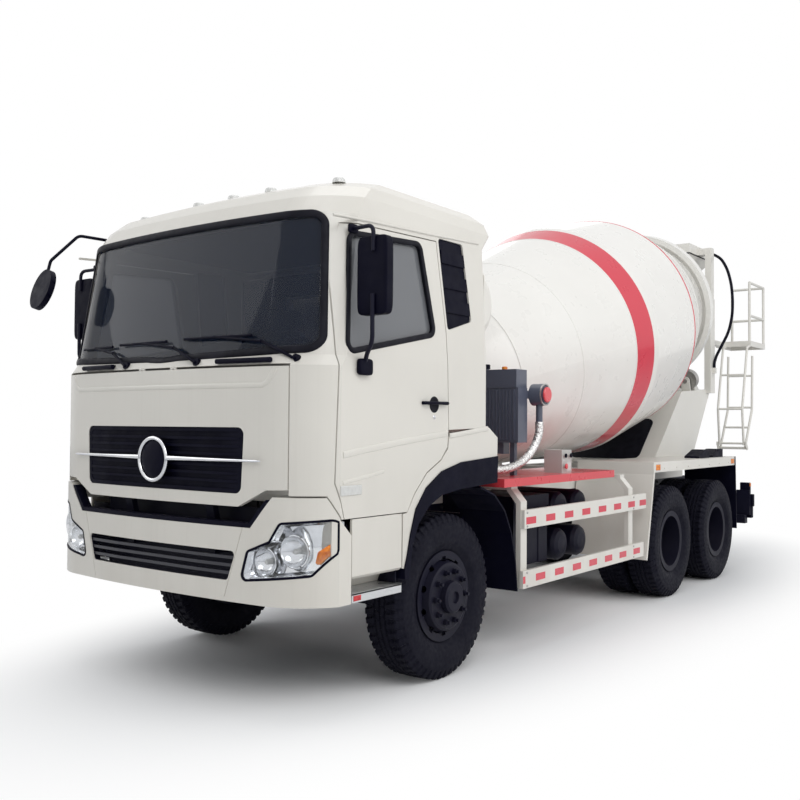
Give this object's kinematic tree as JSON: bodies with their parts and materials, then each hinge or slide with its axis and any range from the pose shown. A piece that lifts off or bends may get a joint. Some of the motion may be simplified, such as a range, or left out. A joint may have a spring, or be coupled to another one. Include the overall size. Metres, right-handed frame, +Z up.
{
  "type": "concrete mixer truck",
  "caption": "Three-axle truck with a tilting cab and a rotating concrete mixer drum, charging hopper, swivelling discharge chute and folding ladder.",
  "frame": {"origin": "on the ground under the middle of the truck's box", "axes": "front faces -Y, the driver's left is +X, +Z up"},
  "size_m": [2.956, 9.3888, 4.0302],
  "materials": {
    "cab_paint": "ivory white gloss paint",
    "drum_paint": "white paint with red bands",
    "mixer_paint": "ivory paint",
    "chassis_paint": "black chassis paint",
    "red_paint": "red paint",
    "grey_paint": "grey paint",
    "steel": "bare steel",
    "cast": "dark cast iron",
    "aluminium": "bare aluminium",
    "black_plastic": "grained black plastic",
    "lamp": "clear and coloured lamp lenses",
    "glass": "tinted safety glass",
    "fabric": "grey seat fabric",
    "rubber": "black rubber",
    "tyre": "tyre rubber",
    "wheel_paint": "black wheel paint",
    "foil": "aluminised sleeve"
  },
  "bodies": {
    "chassis": {"chassis_frame": "chassis_paint", "mixer_subframe": "mixer_paint", "rear_pedestal": "mixer_paint", "engine_block": "cast", "front_axle": "chassis_paint", "rear_axles": "chassis_paint", "front_bumper": "cab_paint", "bumper_lip": "black_plastic", "lamps": "lamp", "cab_steps": "cab_paint", "side_guards": "mixer_paint", "deck_plates": "red_paint", "battery_and_air_tanks": "chassis_paint", "fuel_tank": "aluminium", "control_box": "grey_paint", "oil_cooler": "grey_paint", "foil_hose": "foil", "wash_hose": "rubber", "water_tank": "mixer_paint", "drum_gearbox": "cast", "rear_mudguards": "mixer_paint", "mudguard_flaps": "black_plastic", "hopper": "mixer_paint", "platform": "mixer_paint"},
    "cab": {"cab_shell": "cab_paint", "cab_glass": "glass", "cab_trim": "black_plastic", "cab_seats": "fabric", "dashboard": "black_plastic"},
    "flap": {"front_flap": "cab_paint", "grille": "black_plastic"},
    "tie_rod": {"tie_rod": "steel"},
    "drum": {"drum": "drum_paint"},
    "swivel": {"chute_swivel": "mixer_paint"},
    "chute": {"main_chute": "mixer_paint"},
    "extension": {"chute_extension": "mixer_paint"},
    "ladder": {"ladder_lower": "mixer_paint"},
    "door_left": {"door_left": "cab_paint", "door_glass_left": "glass", "mirror_left": "black_plastic"},
    "knuckle_left": {"knuckle_left": "cast"},
    "wheel_front_left": {"wheel_front_left": "wheel_paint", "tyre_front_left": "tyre"},
    "roller_left": {"roller_left": "steel"},
    "wheels_rear1_left": {"wheels_rear1_left": "wheel_paint", "tyres_rear1_left": "tyre"},
    "wheels_rear2_left": {"wheels_rear2_left": "wheel_paint", "tyres_rear2_left": "tyre"},
    "door_right": {"door_right": "cab_paint", "door_glass_right": "glass", "mirror_right": "black_plastic"},
    "knuckle_right": {"knuckle_right": "cast"},
    "wheel_front_right": {"wheel_front_right": "wheel_paint", "tyre_front_right": "tyre"},
    "roller_right": {"roller_right": "steel"},
    "wheels_rear1_right": {"wheels_rear1_right": "wheel_paint", "tyres_rear1_right": "tyre"},
    "wheels_rear2_right": {"wheels_rear2_right": "wheel_paint", "tyres_rear2_right": "tyre"}
  },
  "joints": [
    {"name": "cab_tilt", "type": "hinge", "parent": "chassis", "child": "cab", "pos_m": [0, -4.5405, 1.25], "axis": [1, 0, 0], "range_deg": [0, 50]},
    {"name": "flap_lift", "type": "hinge", "parent": "cab", "child": "flap", "pos_m": [0, -4.6125, 2], "axis": [-1, 0, 0], "range_deg": [0, 80]},
    {"name": "drum_spin", "type": "hinge", "parent": "chassis", "child": "drum", "pos_m": [0, -0.1555, 2.389], "axis": [0, 0.9702, 0.2423], "continuous": true},
    {"name": "chute_swing", "type": "hinge", "parent": "chassis", "child": "swivel", "pos_m": [0, 3.7245, 1.88], "axis": [0, 0, 1], "range_deg": [-25, 75]},
    {"name": "chute_tilt", "type": "hinge", "parent": "swivel", "child": "chute", "pos_m": [0, 3.7245, 2.2], "axis": [1, 0, 0], "range_deg": [-10, 15]},
    {"name": "chute_fold", "type": "hinge", "parent": "chute", "child": "extension", "pos_m": [0, 4.51624, 2.01166], "axis": [-1, 0, 0], "range_deg": [0, 175]},
    {"name": "ladder_fold", "type": "hinge", "parent": "chassis", "child": "ladder", "pos_m": [0, 3.8445, 1.4], "axis": [-1, 0, 0], "range_deg": [0, 150]},
    {"name": "door_left_swing", "type": "hinge", "parent": "cab", "child": "door_left", "pos_m": [1.238, -4.3455, 2], "axis": [0, 0, -1], "range_deg": [0, 70]},
    {"name": "steer_left", "type": "hinge", "parent": "chassis", "child": "knuckle_left", "pos_m": [0.835, -3.1555, 0.545], "axis": [0, 0, 1], "range_deg": [-35, 35]},
    {"name": "front_wheel_left_spin", "type": "hinge", "parent": "knuckle_left", "child": "wheel_front_left", "pos_m": [1.02, -3.1555, 0.5425], "axis": [1, 0, 0], "continuous": true},
    {"name": "roller_left_spin", "type": "hinge", "parent": "chassis", "child": "roller_left", "pos_m": [0.55922, 2.97194, 2.2475], "axis": [0, 0.9702, 0.2423], "continuous": true},
    {"name": "rear1_wheels_left_spin", "type": "hinge", "parent": "chassis", "child": "wheels_rear1_left", "pos_m": [0.93, 0.6945, 0.5425], "axis": [1, 0, 0], "continuous": true},
    {"name": "rear2_wheels_left_spin", "type": "hinge", "parent": "chassis", "child": "wheels_rear2_left", "pos_m": [0.93, 2.0445, 0.5425], "axis": [1, 0, 0], "continuous": true},
    {"name": "door_right_swing", "type": "hinge", "parent": "cab", "child": "door_right", "pos_m": [-1.238, -4.3455, 2], "axis": [0, 0, 1], "range_deg": [0, 70]},
    {"name": "steer_right", "type": "hinge", "parent": "chassis", "child": "knuckle_right", "pos_m": [-0.835, -3.1555, 0.545], "axis": [0, 0, 1], "range_deg": [-35, 35]},
    {"name": "front_wheel_right_spin", "type": "hinge", "parent": "knuckle_right", "child": "wheel_front_right", "pos_m": [-1.02, -3.1555, 0.5425], "axis": [-1, 0, 0], "continuous": true},
    {"name": "roller_right_spin", "type": "hinge", "parent": "chassis", "child": "roller_right", "pos_m": [-0.55922, 2.97194, 2.2475], "axis": [0, 0.9702, 0.2423], "continuous": true},
    {"name": "rear1_wheels_right_spin", "type": "hinge", "parent": "chassis", "child": "wheels_rear1_right", "pos_m": [-0.93, 0.6945, 0.5425], "axis": [-1, 0, 0], "continuous": true},
    {"name": "rear2_wheels_right_spin", "type": "hinge", "parent": "chassis", "child": "wheels_rear2_right", "pos_m": [-0.93, 2.0445, 0.5425], "axis": [-1, 0, 0], "continuous": true},
    {"name": "tie_rod_link", "type": "hinge", "parent": "knuckle_left", "child": "tie_rod", "pos_m": [0.835, -2.8955, 0.398], "axis": [0, 0, 1], "range_deg": [-36, 36]}
  ],
  "couplings": [
    {"joint": "steer_right", "follows": "steer_left", "ratio": 1},
    {"joint": "tie_rod_link", "follows": "steer_left", "ratio": -1},
    {"joint": "roller_left_spin", "follows": "drum_spin", "ratio": -7.44},
    {"joint": "roller_right_spin", "follows": "drum_spin", "ratio": -7.44}
  ]
}
